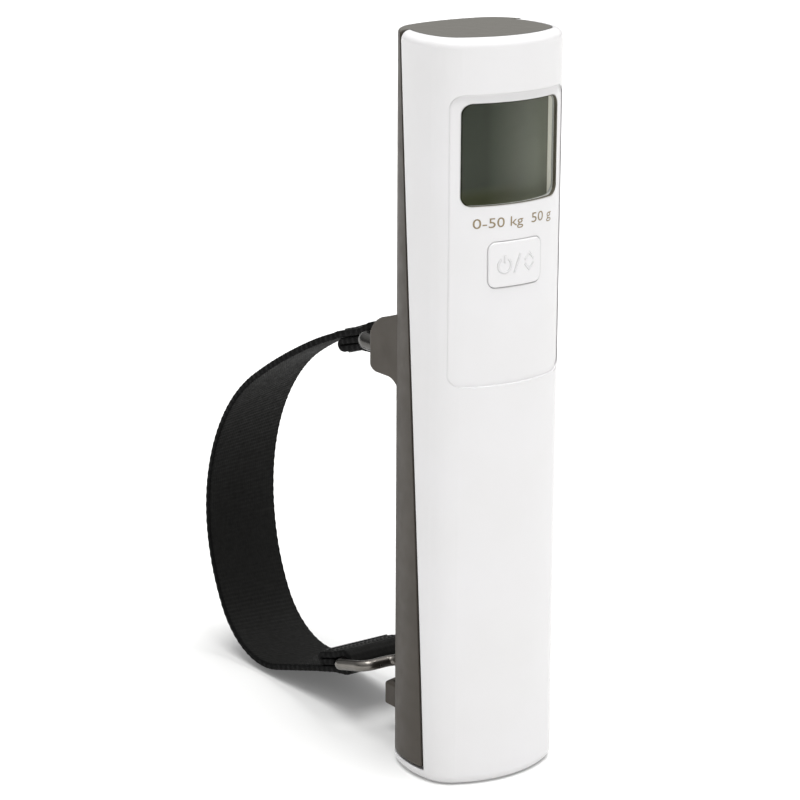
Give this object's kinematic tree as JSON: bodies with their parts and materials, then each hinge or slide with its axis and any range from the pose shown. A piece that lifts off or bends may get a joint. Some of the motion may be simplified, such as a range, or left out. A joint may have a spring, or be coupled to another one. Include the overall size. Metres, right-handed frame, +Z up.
{
  "type": "digital luggage scale",
  "caption": "Handheld digital luggage scale: upright oval handle with display and button, steel ring, webbing strap loop and wire hook on its back.",
  "frame": {"origin": "middle of the handle's flat bottom end", "axes": "+Z up along the handle, -Y out of the display, +Y towards the strap, +X to the display's right as its reader sees it"},
  "size_m": [0.0336, 0.1084, 0.16],
  "materials": {
    "white_shell": "gloss",
    "taupe_shell": "satin",
    "clear_window": "polished",
    "lcd_glass": "polished",
    "frame_plastic": "matte",
    "silicone_strip": "matte",
    "button_plastic": "gloss",
    "switch_black": "matte",
    "switch_steel": "satin",
    "board_green": "gloss",
    "chip_black": "matte",
    "screw_steel": "satin",
    "beam_aluminium": "machined",
    "gauge_foil": "satin",
    "hanger_steel": "satin",
    "ring_steel": "satin",
    "webbing": "woven",
    "hook_steel": "satin",
    "cell_steel": "satin",
    "contact_metal": "satin",
    "taupe_cap": "satin",
    "wire_red": "satin",
    "wire_white": "satin"
  },
  "bodies": {
    "handle": {"front_shell": "white_shell", "back_shell": "taupe_shell", "display_window": "clear_window", "lcd_panel": "lcd_glass", "lcd_frame": "frame_plastic", "contact_strip": "silicone_strip", "tact_switch": "switch_steel", "circuit_board": "board_green", "board_components": "chip_black", "board_screws": "screw_steel", "load_cell_beam": "beam_aluminium", "strain_gauges": "gauge_foil", "hanger_block": "hanger_steel", "hanger_screws": "screw_steel", "beam_screws": "screw_steel", "coin_cell": "cell_steel", "battery_contact_minus": "contact_metal", "battery_contact_plus": "contact_metal", "case_screws": "screw_steel", "battery_wires": "wire_red", "gauge_wires": "wire_white"},
    "button": {"button_cap": "button_plastic", "switch_plunger": "switch_black"},
    "cap": {"battery_cap": "taupe_cap"},
    "ring": {"strap_ring": "ring_steel"},
    "strap": {"strap": "webbing"},
    "hook": {"strap_hook": "hook_steel"}
  },
  "joints": [
    {"name": "button_press", "type": "slide", "parent": "handle", "child": "button", "axis": [0, 1, 0], "range_m": [0, 0.0004], "stiffness_N_per_m": 4000},
    {"name": "battery_cap_turn", "type": "hinge", "parent": "handle", "child": "cap", "pos_m": [0, 0.0137, 0.128], "axis": [0, 1, 0], "range_deg": [0, 40]},
    {"name": "ring_tilt", "type": "hinge", "parent": "handle", "child": "ring", "pos_m": [0, 0.0108, 0.091], "axis": [1, 0, 0], "range_deg": [0, 12]},
    {"name": "strap_swing", "type": "hinge", "parent": "ring", "child": "strap", "pos_m": [0, 0.0264, 0.091], "axis": [1, 0, 0], "range_deg": [0, 98]},
    {"name": "hook_lift", "type": "hinge", "parent": "strap", "child": "hook", "pos_m": [0, 0.03709, 0.01315], "axis": [-1, 0, 0], "range_deg": [0, 90]}
  ]
}
